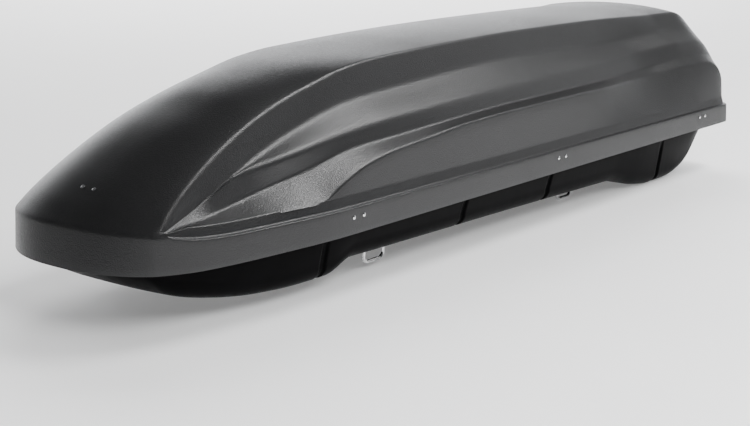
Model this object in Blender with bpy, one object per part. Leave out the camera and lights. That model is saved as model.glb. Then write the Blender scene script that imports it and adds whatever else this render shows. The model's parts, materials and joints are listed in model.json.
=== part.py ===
"""Hard-shell roof cargo box that opens on one side.

Frame: +X runs from the nose to the tail, +Z is up, and the hinges are on the -Y side.
The origin is in the middle of the flat floor that rests on the crossbars. Metres.
"""
from itertools import product
from math import atan, cos, hypot, pi, radians, sin

import bmesh
import bpy
import numpy as np
from mathutils import Matrix, Vector

# ---- overall shape ---------------------------------------------------------------------------
EDGE_Z = 0.072           # lower edge of the lid's flange
LID_WALL = 0.0036        # thickness of the lid's sheet
BASE_WALL = 0.0038       # thickness of the base's sheet
GAP = 0.0003             # clearance between touching pieces
SIDE_SLOPE = 0.0358      # the straight sides widen by this much per metre towards the tail
SIDE_WIDTH = 0.2817      # half-width of the straight side line at x = 0

# half-width of the lid's lower edge behind the nose corner
EDGE_WIDTH = [(-0.935, 0.181), (-0.87, 0.212), (-0.80, 0.229), (-0.709, 0.2435), (-0.56, 0.2613),
              (-0.454, 0.2654), (0.0, 0.2817), (0.93, 0.315)]
# height of the flange's upper edge
FLANGE_TOP = [(-0.935, 0.138), (-0.87, 0.126), (-0.80, 0.1225), (0.90, 0.117), (1.0, 0.116)]
# width of the sloping ledge above the flange
LEDGE_WIDTH = [(-0.935, 0.0), (-0.90, 0.009), (-0.86, 0.015), (0.30, 0.015), (1.0, 0.013)]
LEDGE_RISE = 0.019
FULL_LEDGE = 0.013       # the ledge has its full rise from this width on
CHANNEL_DEPTH = 0.0065   # hollow that runs along the ledge
CHANNEL_PLACE = 0.78     # where it is deepest, as a share of the way down the ledge
FLANGE_DRAFT = 0.002     # how far the flange leans out towards its lower edge
NOSE_DRAFT = 0.013       # and how much more it does at the very nose

# ---- feature lines of the lid ----------------------------------------------------------------
CORNER = (-0.935, 0.179, 0.138)      # nose corner, where every side line starts
NOSE_EDGE_X = -0.985                 # foremost point of the hood's edge
NOSE_CURVE = 2.8                     # how squarely the nose turns into its corners
HOOD_ARCH = 2.2                      # exponent of the hood's crosswise arch
CREST = [(-0.985, 0.142), (-0.95, 0.178), (-0.878, 0.227), (-0.783, 0.274), (-0.706, 0.301),
         (-0.64, 0.323), (-0.556, 0.341), (-0.44, 0.357), (-0.3, 0.365), (-0.1, 0.373),
         (0.08, 0.375), (0.3, 0.374), (0.6, 0.369), (0.8, 0.366), (0.94, 0.363)]
# each side line is a list of (x, half-width, height), before it is set back into the side
RIDGE = [CORNER, (-0.9, 0.170, 0.168), (-0.8, 0.156, 0.228), (-0.7, 0.147, 0.273),
         (-0.6, 0.140, 0.305), (-0.5, 0.137, 0.329), (-0.4, 0.137, 0.349), (-0.3, 0.137, 0.358),
         (0.1, 0.141, 0.3645), (0.5, 0.150, 0.3595), (0.8, 0.165, 0.350)]
UPPER_FACET_TOP = [CORNER, (-0.85, 0.172, 0.163), (-0.75, 0.170, 0.2035), (-0.685, 0.166, 0.2266),
                   (-0.582, 0.163, 0.2576), (-0.415, 0.162, 0.2916), (-0.263, 0.163, 0.300),
                   (0.121, 0.167, 0.3156), (0.514, 0.178, 0.3066), (0.8, 0.212, 0.314)]
UPPER_FACET_FOOT = [CORNER, (-0.85, 0.172, 0.163), (-0.75, 0.170, 0.2035), (-0.62, 0.190, 0.224),
                    (-0.462, 0.200, 0.245), (-0.325, 0.209, 0.2547), (-0.087, 0.213, 0.2607),
                    (0.147, 0.214, 0.2627), (0.6, 0.216, 0.270), (0.8, 0.243, 0.284)]
LOWER_FACET_TOP = [CORNER, (-0.853, 0.186, 0.147), (-0.76, 0.182, 0.159), (-0.682, 0.188, 0.1747),
                   (-0.579, 0.205, 0.1956), (-0.479, 0.215, 0.2147), (-0.343, 0.225, 0.2227),
                   (-0.203, 0.232, 0.2286), (0.024, 0.235, 0.2338), (0.223, 0.238, 0.2345),
                   (0.6, 0.240, 0.240), (0.8, 0.262, 0.253)]
PANEL_TOP = [(-0.542, 0.0025, 0.161), (-0.498, 0.0030, 0.178), (-0.454, 0.0035, 0.191),
             (-0.375, 0.0035, 0.203), (-0.285, 0.0040, 0.2096), (-0.151, 0.0045, 0.221),
             (0.023, 0.0050, 0.2254), (0.254, 0.0090, 0.226), (0.377, 0.0140, 0.2235),
             (0.6, 0.0350, 0.221), (0.8, 0.0230, 0.233)]      # the widths here are from the ledge
PANEL_START = -0.585                 # the side panel begins here, on the ledge
SET_BACK = (0.0, 0.008, 0.0, 0.007)  # of the ridge, both upper facet lines and the lower facet's top
SET_BACK_FROM = (-0.80, -0.62)       # it starts at the first x and is complete at the second
SET_BACK_AFT = 1.4                   # a line that is set back by 1 moves aft by this much
SET_BACK_DOWN = 0.31                 # and down by this much
SIDE_BLEND_X = 0.80                  # behind this the side lines run to the tail's corner

# ---- tail, in plan at the top of its ledge ---------------------------------------------------
TAIL_EDGE_X = 0.985
TAIL_BOW = 0.006                     # the tail's edge is this far forward at TAIL_HALF
TAIL_HALF = 0.285
TAIL_CORNER_Y = 0.265
TAIL_CORNER = 0.022
TAIL_SPREAD = [0.195, 0.232, 0.258]  # half-width where the upper three side lines reach the tail
TAIL_START = 0.90                    # the roof begins to turn down here, on the centre line
TAIL_START_SWEEP = 0.06              # and this much sooner at the sides
TAIL_START_HALF = 0.29
TAIL_DROP = 2.9                      # exponent of the tail's rounded profile
LID_ROWS = 34
NOSE_RIVET = (-0.929, -0.010)        # middle of the nose rivets, on the hood
HOOD_STEPS = [0.0, 0.3, 0.6, 0.85, 1.0]
ROW_EASE = 0.72                      # how much closer rows lie at the two ends

# ---- base tub --------------------------------------------------------------------------------
RIM_Z = 0.076                        # top of the base's rim
RIM_LIP = 0.013
SADDLE_X = (-0.46, 0.47)             # the flat floor between the two bulges
SADDLE_FALL = 0.0157                 # the flat floor falls towards the tail by this much per metre
SKIN_TOP = RIM_Z - BASE_WALL         # underside of the rim's lip
WALL_DRAFT = 0.012
FLOOR_RADIUS = 0.030
RIM_WIDTH = [(-0.922, 0.131), (-0.905, 0.146), (-0.856, 0.169), (-0.791, 0.187), (-0.709, 0.202),
             (-0.554, 0.218), (-0.454, 0.2254), (0.0, 0.2417), (0.89, 0.2735), (0.93, 0.264)]
BASE_NOSE = (-0.960, -0.922)         # the rim's foremost x, and x at its front corners
BASE_TAIL = (0.966, 0.937)           # the rim's rearmost x, and x at its rear corners
END_REACH = 0.22                     # how far the rounded plan of each end reaches into the tub
FLOOR = [(-0.960, 0.0722), (-0.93, 0.047), (-0.88, 0.016), (-0.80, -0.004), (-0.70, -0.018),
         (-0.60, -0.023), (-0.53, -0.022), (SADDLE_X[0], 0.0), (SADDLE_X[1], 0.0), (0.53, -0.009),
         (0.60, -0.026), (0.68, -0.034), (0.76, -0.032), (0.83, -0.018), (0.89, 0.012), (0.935, 0.045),
         (0.966, 0.0722)]
GROOVES = [-0.552, -0.124, 0.193, 0.689]
GROOVE_HALF = 0.006
GROOVE_DEPTH = 0.005
GROOVE_SIDE = 0.003                  # length of a groove's slanting side
# rows of the tub between its grooves, closer together where it curves
BASE_ROWS = [-0.960, -0.952, -0.940, -0.915, -0.885, -0.85, -0.80, -0.74, -0.67, -0.61, -0.52, -0.49,
             -0.46, -0.38, -0.30, -0.21, -0.04, 0.07, 0.26, 0.34, 0.43, 0.47, 0.50, 0.54, 0.59, 0.64,
             0.74, 0.79, 0.83, 0.86, 0.895, 0.925, 0.944, 0.958, 0.966]

# ---- hinges ----------------------------------------------------------------------------------
HINGE_X = [-0.515, 0.170, 0.825]
HINGE_INSET = 0.012                  # axis, inboard of the lid's lower edge
HINGE_Z = 0.078
HINGE_LENGTH = 0.060
KNUCKLE_RADIUS = 0.0045
PIN_RADIUS = 0.0020
PIN_CLEARANCE = 0.0002
LEAF = 0.0020                        # thickness of both leaves
LEAF_START = 0.0055                  # the leaves begin this far from the axis
BASE_LEAF_END = 0.0300
LID_LEAF_TOP = 0.034                 # above the axis
KNUCKLE_GAP = 0.0006
PIN_HEAD = 0.0012
RIVET_PITCH = 0.028
RIVET_Z = 0.102
RIVET_HEAD = 0.0040
RIVET_SHANK = 0.0020
HEAD_DEPTH = 0.0014
RIVET_STRIP = (0.044, 0.0012, 0.012) # the backing strip's length, thickness and height

# ---- lock ------------------------------------------------------------------------------------
LOCK_X = 0.153
LOCK_Z = 0.1000
LOCK_RADIUS = 0.0080
ESCUTCHEON_RADIUS = 0.0115
CAM_RADIUS = 0.0125
HOUSING = (0.038, 0.026)             # the housing's length and height
HOUSING_INSET = (0.0058, 0.0115)     # its two faces, inboard of the lid's lower edge
KEY_BOW = 0.0095
KEY_BLADE = (0.0018, 0.0056)         # thickness and height
KEYWAY = (0.0026, 0.0068)
LOCK_CRANK = 0.0099                  # cam pin's radius from the cylinder's axis
CAM_PIN_RADIUS = 0.0025
BAR_FRONT_X = -0.43
BAR_REAR_X = 0.73
BAR_INSET = (0.0140, 0.0170)         # the bar's two faces, inboard of the lid's lower edge
BAR_Z = (0.0840, 0.1000)
BAR_SLOT = (0.0064, 0.0868, 0.0963)  # the cam slot's width, and its lower and upper end
HOOK_X = [-0.39, 0.23, 0.68]
HOOK_INSET = (0.0173, 0.0203)
HOOK_LOW = 0.0695
HOOK_STEM = (0.0100, 0.0980)         # its length and its upper end
HOOK_TOE = (0.0220, 0.0755)
STRIKER_X = (-0.014, 0.0430)         # from the hook's rear face
STRIKER_INSET = (0.0095, 0.0430)
STRIKER_THICK = 0.0025
STRIKER_SLOT_X = (-0.0030, 0.0255)
STRIKER_SLOT_INSET = (0.0140, 0.0240)
GUIDE_X = [-0.22, 0.48]
GUIDE_LENGTH = 0.016
GUIDE_INSET = (0.0055, 0.0205)
GUIDE_Z = (0.0812, 0.1028)

# ---- lid struts ------------------------------------------------------------------------------
STRUT_X = [-0.28, 0.30]
STRUT_FOOT = (0.046, 0.002)          # inboard and above the hinge axis
STRUT_HEAD = (0.050, 0.124)
TUBE_RADIUS = 0.008
ROD_RADIUS = 0.004
STUD_RADIUS = 0.003
EYE_HOLE = 0.0072
EYE_RADIUS = 0.0105
TUBE_Z = (0.011, 0.075)              # along the strut from its foot
NECK_RADIUS = 0.0040
FOOT_RADIUS = 0.0070
FOOT_LENGTH = 0.006
ROD_START = 0.0355
TUBE_BORE_START = 0.031
STUD_LENGTH = 0.0136
STUD_CENTRE = 0.0028
BRACKET_X = (0.0085, 0.0105)         # the two faces of each bracket's upright tab
BRACKET_TIP = (0.0045, 0.0050)       # how far the tab reaches past its stud
BRACKET_THICK = 0.002
BASE_BRACKET_X = 0.034
BASE_BRACKET_Y = (0.0170, 0.0350)
BASE_TAB_Y = 0.0290
LID_BRACKET_X = (-0.012, 0.022)
LID_BRACKET_Z = (0.074, 0.122)
PANEL_SHARE = 0.75                   # of the side panel's inset, at the lid brackets' height

# ---- clamps ----------------------------------------------------------------------------------
BAR_X = [-0.34, 0.40]
CLAMP_Y = 0.160
LEG_SPACING = 0.062
LEG_RADIUS = 0.004
CROSSBAR_DEPTH = 0.030
U_CORNER = 0.012
LEG_TOP = 0.046
RAIL_X = (-0.44, 0.50)
RAIL_WIDTH = 0.036
RAIL_THICK = 0.0024
PLATE_THICK = 0.004
PLATE_SIZE = (0.094, 0.032)
SLOT_SIZE = (0.016, 0.011)           # of the rails' slots for the U-bolts
KNOB_RADIUS = 0.020
KNOB_HEIGHT = 0.024
KNOB_LOBES = 5
KNOB_LOBE_DEPTH = 0.0050
KNOB_SKIRT = 0.006                   # the lobes begin this far above the knob's seat
HUB_RADIUS = 0.0105
HUB_HEIGHT = 0.009

# ---- straps ----------------------------------------------------------------------------------
STRAP_X = [-0.12, 0.20]
STRAP_WIDTH = 0.025
STRAP_THICK = 0.0016
STRAP_RAMP = 0.02
BUCKLE_Y = (0.040, 0.072)
BUCKLE_WIDTH = 0.036
BUCKLE_THICK = 0.005
BUCKLE_SLOTS = [(0.046, 0.053), (0.058, 0.066)]
BUCKLE_SLOT_WIDTH = 0.027

# ---- nose bracket ----------------------------------------------------------------------------
NOSE_PLATE_X = 0.024
NOSE_PLATE_Z = (-0.014, 0.016)
NOSE_PLATE_GAP = 0.0024
NOSE_PLATE_THICK = 0.0015
NOSE_FLANGE = 0.0150

SIDE_ANGLE = atan(SIDE_SLOPE)


# ---- small tools -----------------------------------------------------------------------------
def clear_scene():
    for old in list(bpy.data.objects):
        bpy.data.objects.remove(old, do_unlink=True)


def paint(name, colour, roughness, metallic=0.0):
    material = bpy.data.materials.new(name)
    material.use_nodes = True
    shader = material.node_tree.nodes["Principled BSDF"]
    shader.inputs["Base Color"].default_value = (*colour, 1.0)
    shader.inputs["Roughness"].default_value = roughness
    shader.inputs["Metallic"].default_value = metallic
    return material


def add_object(name, bm, material, place=None):
    bmesh.ops.recalc_face_normals(bm, faces=bm.faces)
    mesh = bpy.data.meshes.new(name)
    bm.to_mesh(mesh)
    bm.free()
    mesh.materials.append(material)
    piece = bpy.data.objects.new(name, mesh)
    bpy.context.scene.collection.objects.link(piece)
    if place is not None:
        piece.matrix_world = place
    return piece


def soften(piece, angle=40):
    piece.data.shade_smooth()
    piece.data.set_sharp_from_angle(angle=radians(angle))
    return piece


def block(low, high):
    bm = bmesh.new()
    size = [b - a for a, b in zip(low, high)]
    centre = [(a + b) / 2 for a, b in zip(low, high)]
    matrix = Matrix.Translation(centre) @ Matrix.Diagonal((*size, 1.0))
    bmesh.ops.create_cube(bm, size=1.0, matrix=matrix)
    return bm


AXIS_TURN = {"X": Matrix.Rotation(pi / 2, 4, "Y"), "Y": Matrix.Rotation(-pi / 2, 4, "X"),
             "Z": Matrix.Identity(4)}


def bar(centre, radius, length, axis="Z", sides=16):
    """A cylinder centred on a point, along X, Y or Z."""
    bm = bmesh.new()
    matrix = Matrix.Translation(centre) @ AXIS_TURN[axis]
    bmesh.ops.create_cone(bm, cap_ends=True, segments=sides, radius1=radius, radius2=radius,
                          depth=length, matrix=matrix)
    return bm


def extrusion(outline, start, end, axis):
    """A polygon swept along X or Z. With X the outline is (y, z), with Z it is (x, y)."""
    bm = bmesh.new()
    if axis == "X":
        ring = [bm.verts.new((start, a, b)) for a, b in outline]
        shift = (end - start, 0, 0)
    else:
        ring = [bm.verts.new((a, b, start)) for a, b in outline]
        shift = (0, 0, end - start)
    face = bm.faces.new(ring)
    swept = bmesh.ops.extrude_face_region(bm, geom=[face])
    moved = [v for v in swept["geom"] if isinstance(v, bmesh.types.BMVert)]
    bmesh.ops.translate(bm, verts=moved, vec=shift)
    return bm


def combine(piece, shapes, operation):
    """Join or cut with bmesh shapes, given in the piece's own frame."""
    tools = []
    for shape in shapes:
        tool = add_object(piece.name + "_tool", shape, piece.data.materials[0])
        tool.matrix_world = piece.matrix_world.copy()
        tool.hide_render = True
        tool.display_type = "WIRE"
        tools.append(tool)
        step = piece.modifiers.new(operation.title(), "BOOLEAN")
        step.operation = operation
        step.solver = "EXACT"
        step.object = tool
    bpy.context.view_layer.update()
    graph = bpy.context.evaluated_depsgraph_get()
    result = bpy.data.meshes.new_from_object(piece.evaluated_get(graph))
    piece.modifiers.clear()
    piece.data = result
    for tool in tools:
        bpy.data.objects.remove(tool, do_unlink=True)
    return piece


def join(piece, *shapes):
    return combine(piece, shapes, "UNION")


def cut(piece, *shapes):
    return combine(piece, shapes, "DIFFERENCE")


def smooth_line(points):
    """A monotone cubic through (x, value) points, level beyond both ends."""
    x = np.array([p[0] for p in points], float)
    v = np.array([p[1] for p in points], float)
    step = np.diff(x)
    slope = np.diff(v) / step
    tangent = np.zeros_like(v)
    tangent[0] = slope[0]
    tangent[-1] = slope[-1]
    for i in range(1, len(x) - 1):
        if slope[i - 1] * slope[i] > 0:
            w1 = 2 * step[i] + step[i - 1]
            w2 = step[i] + 2 * step[i - 1]
            tangent[i] = (w1 + w2) / (w1 / slope[i - 1] + w2 / slope[i])

    def value(at):
        at = min(max(at, x[0]), x[-1])
        i = min(int(np.searchsorted(x, at, side="right")) - 1, len(step) - 1)
        s = (at - x[i]) / step[i]
        rise = (2 * s ** 3 - 3 * s ** 2 + 1) * v[i] + (3 * s ** 2 - 2 * s ** 3) * v[i + 1]
        bend = (s ** 3 - 2 * s ** 2 + s) * tangent[i] + (s ** 3 - s ** 2) * tangent[i + 1]
        return float(rise + step[i] * bend)
    return value


edge_width = smooth_line(EDGE_WIDTH)
flange_top = smooth_line(FLANGE_TOP)
ledge_width = smooth_line(LEDGE_WIDTH)
rim_width = smooth_line(RIM_WIDTH)
crest = smooth_line(CREST)
floor_profile = smooth_line(FLOOR)


def floor_fall(x):
    """Drop of the sloping floor below its front end."""
    return SADDLE_FALL * (min(max(x, SADDLE_X[0]), BASE_TAIL[0]) - SADDLE_X[0])


def floor_height(x):
    share = (SKIN_TOP - floor_profile(x)) / SKIN_TOP
    return floor_profile(x) - floor_fall(x) * min(1.0, share)


def floor_frame(x=0.0, y=0.0, z=0.0):
    """A frame on the sloping floor: local X runs aft along it."""
    start = Matrix.Translation((SADDLE_X[0], 0.0, 0.0)) @ Matrix.Rotation(atan(SADDLE_FALL), 4, "Y")
    return start @ Matrix.Translation((x - SADDLE_X[0], y, z))


def straight_side(x):
    return SIDE_WIDTH + SIDE_SLOPE * x


def side_frame(x, side, inboard=0.0, z=0.0):
    """A frame on a straight side line: local X runs aft along the side, local Y towards +Y."""
    turn = SIDE_ANGLE * side
    inward = Vector((sin(SIDE_ANGLE), -side * cos(SIDE_ANGLE), 0.0))
    spot = Vector((x, side * straight_side(x), z)) + inward * inboard
    return Matrix.Translation(spot) @ Matrix.Rotation(turn, 4, "Z")


# ---- lid shell -------------------------------------------------------------------------------
def ledge_share(x):
    """0 where the ledge has no width, 1 where it has its full rise."""
    return min(1.0, ledge_width(x) / FULL_LEDGE)


def ledge_top(x):
    return flange_top(x) + LEDGE_RISE * ledge_share(x)


def ledge_y(x):
    """Half-width of the ledge's upper edge."""
    return edge_width(x) - FLANGE_DRAFT - ledge_width(x)


def set_back(point, depth):
    """A point of a side line, moved into the side along with the line."""
    x, y, z = point
    share = min(1.0, max(0.0, (x - SET_BACK_FROM[0]) / (SET_BACK_FROM[1] - SET_BACK_FROM[0])))
    back = depth * share
    return (x + SET_BACK_AFT * back, y - back, z - SET_BACK_DOWN * back)


def side_lines():
    """Half-width and height along x of each line from the ridge down to the ledge."""
    lines = []
    for table, depth in zip((RIDGE, UPPER_FACET_TOP, UPPER_FACET_FOOT, LOWER_FACET_TOP), SET_BACK):
        points = [set_back(point, depth) for point in table]
        width = smooth_line([(x, y) for x, y, _ in points])
        height = smooth_line([(x, z) for x, _, z in points])
        lines.append((width, height))

    start = (PANEL_START, 0.0, ledge_top(PANEL_START))
    inset = smooth_line([(x, y) for x, y, _ in [start] + PANEL_TOP])
    height = smooth_line([(x, z) for x, _, z in [start] + PANEL_TOP])

    def panel_y(x):
        return ledge_y(x) - inset(x)

    def panel_z(x):
        return height(x) if x > PANEL_START else ledge_top(x)
    lines.append((panel_y, panel_z))
    lines.append((ledge_y, ledge_top))
    return lines


def tail_ends():
    """Last point (x, half-width) of each side line, on the plan of the tail's ledge."""
    ends = [(tail_plan(y), y) for y in TAIL_SPREAD]
    side_x = tail_plan(TAIL_CORNER_Y) - TAIL_CORNER
    side_y = ledge_y(side_x)
    for angle in (0.0, pi / 4, pi / 2):
        ends.append((side_x + TAIL_CORNER * cos(angle), side_y - TAIL_CORNER * (1 - sin(angle))))
    return ends


def tail_plan(y):
    return TAIL_EDGE_X - TAIL_BOW * (y / TAIL_HALF) ** 2


def row_position(i, rows):
    u = i / rows
    return u - ROW_EASE * sin(2 * pi * u) / (2 * pi)


def tail_fade(x, y, end):
    """1 on the roof, 0 at the tail's ledge, along a rounded profile."""
    start = TAIL_START - TAIL_START_SWEEP * (y / TAIL_START_HALF) ** 2
    if x <= start:
        return 1.0
    s = min(1.0, (x - start) / (end - start))
    return (1.0 - s ** TAIL_DROP) ** (1.0 / TAIL_DROP)


def side_point(t, lines, ends, k):
    """Point of side line k at row position t."""
    width, height = lines[k]
    end_x, end_y = ends[k]
    x = CORNER[0] + (end_x - CORNER[0]) * t
    blend = max(0.0, (x - SIDE_BLEND_X) / (end_x - SIDE_BLEND_X))
    on_ledge = k == len(lines) - 1
    y = width(x) if on_ledge else width(min(x, SIDE_BLEND_X))
    y += (end_y - width(end_x if on_ledge else SIDE_BLEND_X)) * blend
    base_z = ledge_top(x)
    z = base_z + (height(x) - base_z) * tail_fade(x, y, end_x)
    return Vector((x, y, z))


def hood_point(t, lines, ends, h):
    """Point of the hood at row position t and a fraction h of the way out to the ridge."""
    ridge = side_point(t, lines, ends, 0)
    x = NOSE_EDGE_X + (TAIL_EDGE_X - NOSE_EDGE_X) * t
    base_z = ledge_top(x)
    z = base_z + (crest(x) - base_z) * tail_fade(x, 0.0, TAIL_EDGE_X)
    out = h ** NOSE_CURVE
    return Vector((x + (ridge.x - x) * out, ridge.y * h, z + (ridge.z - z) * h ** HOOD_ARCH))


def lid_half_rows():
    lines = side_lines()
    ends = tail_ends()
    rows = []
    for i in range(LID_ROWS + 1):
        t = row_position(i, LID_ROWS)
        row = [hood_point(t, lines, ends, h) for h in HOOD_STEPS[:-1]]
        row += [side_point(t, lines, ends, k) for k in range(len(lines))]
        rows.append(row)
    return rows


def outward(loop, i):
    """Plan normal of a half loop that starts and ends on the centre line."""
    before = loop[i - 1] if i > 0 else Vector((loop[0].x, -loop[1].y, 0))
    after = loop[i + 1] if i < len(loop) - 1 else Vector((loop[-1].x, -loop[-2].y, 0))
    along = after - before
    return Vector((-along.y, along.x, 0.0)).normalized()


def channel_point(upper, edge, normal):
    """The deepest point of the hollow between the ledge's upper edge and the flange."""
    across = edge - upper
    slope = across.length
    if slope < GAP:
        return (upper + edge) / 2
    inward = (normal * across.z - Vector((0, 0, across.xy.length))) / slope
    return upper.lerp(edge, CHANNEL_PLACE) + inward * CHANNEL_DEPTH * ledge_share(upper.x)


def lid_half_loops(rows):
    """The ledge's upper loop, its hollow, the flange's top and its bottom, nose to tail."""
    corner_column = len(HOOD_STEPS) - 1
    upper = [p.copy() for p in rows[0][:corner_column + 1]]
    upper += [row[-1].copy() for row in rows[1:]]
    upper += [p.copy() for p in reversed(rows[-1][:-1])]
    strip = []
    for i, point in enumerate(upper):
        normal = outward(upper, i)
        on_nose = i < corner_column
        edge = point if on_nose else point + normal * ledge_width(point.x)
        edge = Vector((edge.x, edge.y, point.z if on_nose else flange_top(point.x)))
        middle = 1 - (point.y / CORNER[1]) ** 2 if i <= corner_column else 0.0
        foot = edge + normal * (FLANGE_DRAFT + NOSE_DRAFT * middle)
        foot.z = EDGE_Z
        column = [point, channel_point(point, edge, normal), edge, foot]
        if point.y == 0.0:
            column = [Vector((p.x, 0.0, p.z)) for p in column]
        strip.append(column)
    return strip


def mirrored(row):
    return [Vector((p.x, -p.y, p.z)) for p in reversed(row[1:])] + row


def skin(bm, rows):
    grid = [[bm.verts.new(p) for p in row] for row in rows]
    for a, b in zip(grid, grid[1:]):
        for j in range(len(a) - 1):
            bm.faces.new((a[j], a[j + 1], b[j + 1], b[j]))


def thicken(piece, thickness):
    step = piece.modifiers.new("Solidify", "SOLIDIFY")
    step.thickness = thickness
    step.offset = -1.0
    step.use_even_offset = False
    combine(piece, [], "UNION")


def open_shell(name, bm, material, thickness, faces_up):
    """A sheet of even thickness whose given skin is its outer face."""
    bmesh.ops.remove_doubles(bm, verts=bm.verts, dist=0.0001)
    bmesh.ops.dissolve_degenerate(bm, edges=bm.edges, dist=0.0001)
    bmesh.ops.recalc_face_normals(bm, faces=bm.faces)
    upward = sum(f.normal.z * f.calc_area() for f in bm.faces) > 0
    if upward != faces_up:
        bmesh.ops.reverse_faces(bm, faces=bm.faces)
    mesh = bpy.data.meshes.new(name)
    bm.to_mesh(mesh)
    bm.free()
    mesh.materials.append(material)
    piece = bpy.data.objects.new(name, mesh)
    bpy.context.scene.collection.objects.link(piece)
    thicken(piece, thickness)
    return piece


def rivet_holes(y, z, depth):
    """Cutters for a pair of rivet shanks along local Y."""
    radius = RIVET_SHANK + GAP
    return [bar((side * RIVET_PITCH / 2, y, z), radius, depth, "Y", 10) for side in (-1, 1)]


def both_sides(column_rows, sign):
    return [[Vector((p.x, sign * p.y, p.z)) for p in column] for column in column_rows]


def make_lid_shell(material):
    bm = bmesh.new()
    half = lid_half_rows()
    skin(bm, [mirrored(row) for row in half])
    strip = lid_half_loops(half)
    for sign in (1, -1):
        skin(bm, both_sides(strip, sign))
    lid = open_shell("lid_shell", bm, material, LID_WALL, faces_up=True)
    through = 0.02
    holes = []
    for x in HINGE_X:
        frame = side_frame(x, -1)
        holes += [placed(shape, frame) for shape in rivet_holes(0.0, RIVET_Z, through)]
    lock_hole = bar((0, 0, LOCK_Z), LOCK_RADIUS + 0.0005, through, "Y", 20)
    holes.append(placed(lock_hole, side_frame(LOCK_X, 1)))
    nose = nose_rivet_frame()
    holes += [placed(shape, nose) for shape in rivet_holes(0.0, 0.0, through)]
    cut(lid, *holes)
    return soften(lid, 25)


def placed(shape, matrix):
    bmesh.ops.transform(shape, matrix=matrix, verts=shape.verts)
    return shape


def hood_height(x, y):
    """Height of the hood over a point near the centre line."""
    ridge_y = smooth_line([(a, b) for a, b, _ in RIDGE])(x)
    ridge_z = smooth_line([(a, c) for a, _, c in RIDGE])(x)
    return crest(x) + (ridge_z - crest(x)) * (abs(y) / ridge_y) ** HOOD_ARCH


def nose_rivet_frame():
    """Frame on the hood at the nose rivets: local Y points out of the sheet."""
    x, y = NOSE_RIVET
    reach = 0.01
    slope_x = (hood_height(x + reach, y) - hood_height(x - reach, y)) / (2 * reach)
    slope_y = (hood_height(x, y + reach) - hood_height(x, y - reach)) / (2 * reach)
    out = Vector((-slope_x, -slope_y, 1.0)).normalized()
    across = Vector((0.0, 1.0, slope_y)).normalized()
    up = across.cross(out)
    turn = Matrix((across, out, up)).transposed().to_4x4()
    return Matrix.Translation((x, y, hood_height(x, y))) @ turn


# ---- base shell ------------------------------------------------------------------------------
def groove_depth(x):
    """Depth of the upright grooves pressed into the side walls."""
    return max((GROOVE_DEPTH for g in GROOVES if abs(x - g) <= GROOVE_HALF), default=0.0)


def base_row_positions():
    spots = list(BASE_ROWS)
    for groove in GROOVES:
        for side in (-1, 1):
            spots += [groove + side * GROOVE_HALF, groove + side * (GROOVE_HALF + GROOVE_SIDE)]
    return sorted(spots)


def end_shift(x, y, wide):
    """How far a point moves along x because both ends of the tub are rounded in plan."""
    nose = max(0.0, 1 - (x - BASE_NOSE[0]) / END_REACH) ** 2
    tail = max(0.0, 1 - (BASE_TAIL[0] - x) / END_REACH) ** 2
    out = min(1.0, y / wide) ** 2.5
    return ((BASE_NOSE[1] - BASE_NOSE[0]) * nose + (BASE_TAIL[1] - BASE_TAIL[0]) * tail) * out


def base_section(x):
    """(half-width, height) of a half section, from the centre line up to the rim's lip."""
    rim = rim_width(x + end_shift(x, 1.0, 1.0))
    floor = floor_height(x)
    deep = SKIN_TOP - floor
    low = rim - WALL_DRAFT * min(1.0, deep / 0.05) - groove_depth(x)
    radius = min(FLOOR_RADIUS, deep * 0.45)
    points = [(0.0, floor), (low * 0.42, floor), (low - radius - 0.02, floor)]
    for angle in (0, 30, 60, 90):
        a = radians(angle)
        points.append((low - radius * (1 - sin(a)), floor + radius * (1 - cos(a))))
    upper = rim - groove_depth(x) * 0.8
    points.append((low + (upper - low) * 0.7, floor + radius + (deep - radius) * 0.6))
    points.append((rim, SKIN_TOP - min(0.007, deep * 0.2)))
    return points


def base_half_rows():
    rows = []
    for x in base_row_positions():
        section = base_section(x)
        wide = section[-1][0]
        rows.append([Vector((x + end_shift(x, y, wide), y, z)) for y, z in section])
    return rows


def rim_half_loops(rows):
    """The tub's upper edge and the lip turned out from it, nose to tail."""
    edge = [p.copy() for p in rows[0]] + [row[-1].copy() for row in rows[1:]]
    edge += [p.copy() for p in reversed(rows[-1][:-1])]
    kept = [edge[0]]
    for point in edge[1:]:
        if (point.xy - kept[-1].xy).length > 0.0005:
            kept.append(point)
    strip = []
    for i, point in enumerate(kept):
        raised = Vector((point.x, point.y, SKIN_TOP))
        tip = raised + outward(kept, i) * RIM_LIP
        if point.y == 0.0:
            tip.y = 0.0
        strip.append([point, raised, tip])
    return strip


def make_base_shell(material):
    bm = bmesh.new()
    half = base_half_rows()
    skin(bm, [mirrored(row) for row in half])
    strip = rim_half_loops(half)
    for sign in (1, -1):
        skin(bm, both_sides(strip, sign))
    base = open_shell("base_shell", bm, material, BASE_WALL, faces_up=False)
    holes = []
    for x, y in product(BAR_X, (-CLAMP_Y, CLAMP_Y)):
        for side in (-1, 1):
            hole = bar((side * LEG_SPACING / 2, 0.0, 0.0), LEG_RADIUS + 0.001, 0.03, "Z", 12)
            holes.append(placed(hole, floor_frame(x, y)))
    cut(base, *holes)
    return soften(base, 30)


# ---- hinges ----------------------------------------------------------------------------------
def knuckle(start, end):
    return bar(((start + end) / 2, 0, 0), KNUCKLE_RADIUS, end - start, "X", 16)


def pin_hole():
    return bar((0, 0, 0), PIN_RADIUS + PIN_CLEARANCE, HINGE_LENGTH * 1.2, "X", 16)


def lid_leaf_y():
    """Local Y of the lid leaf's outer face, just inside the flange."""
    return LID_WALL + GAP - HINGE_INSET + FLANGE_DRAFT


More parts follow.
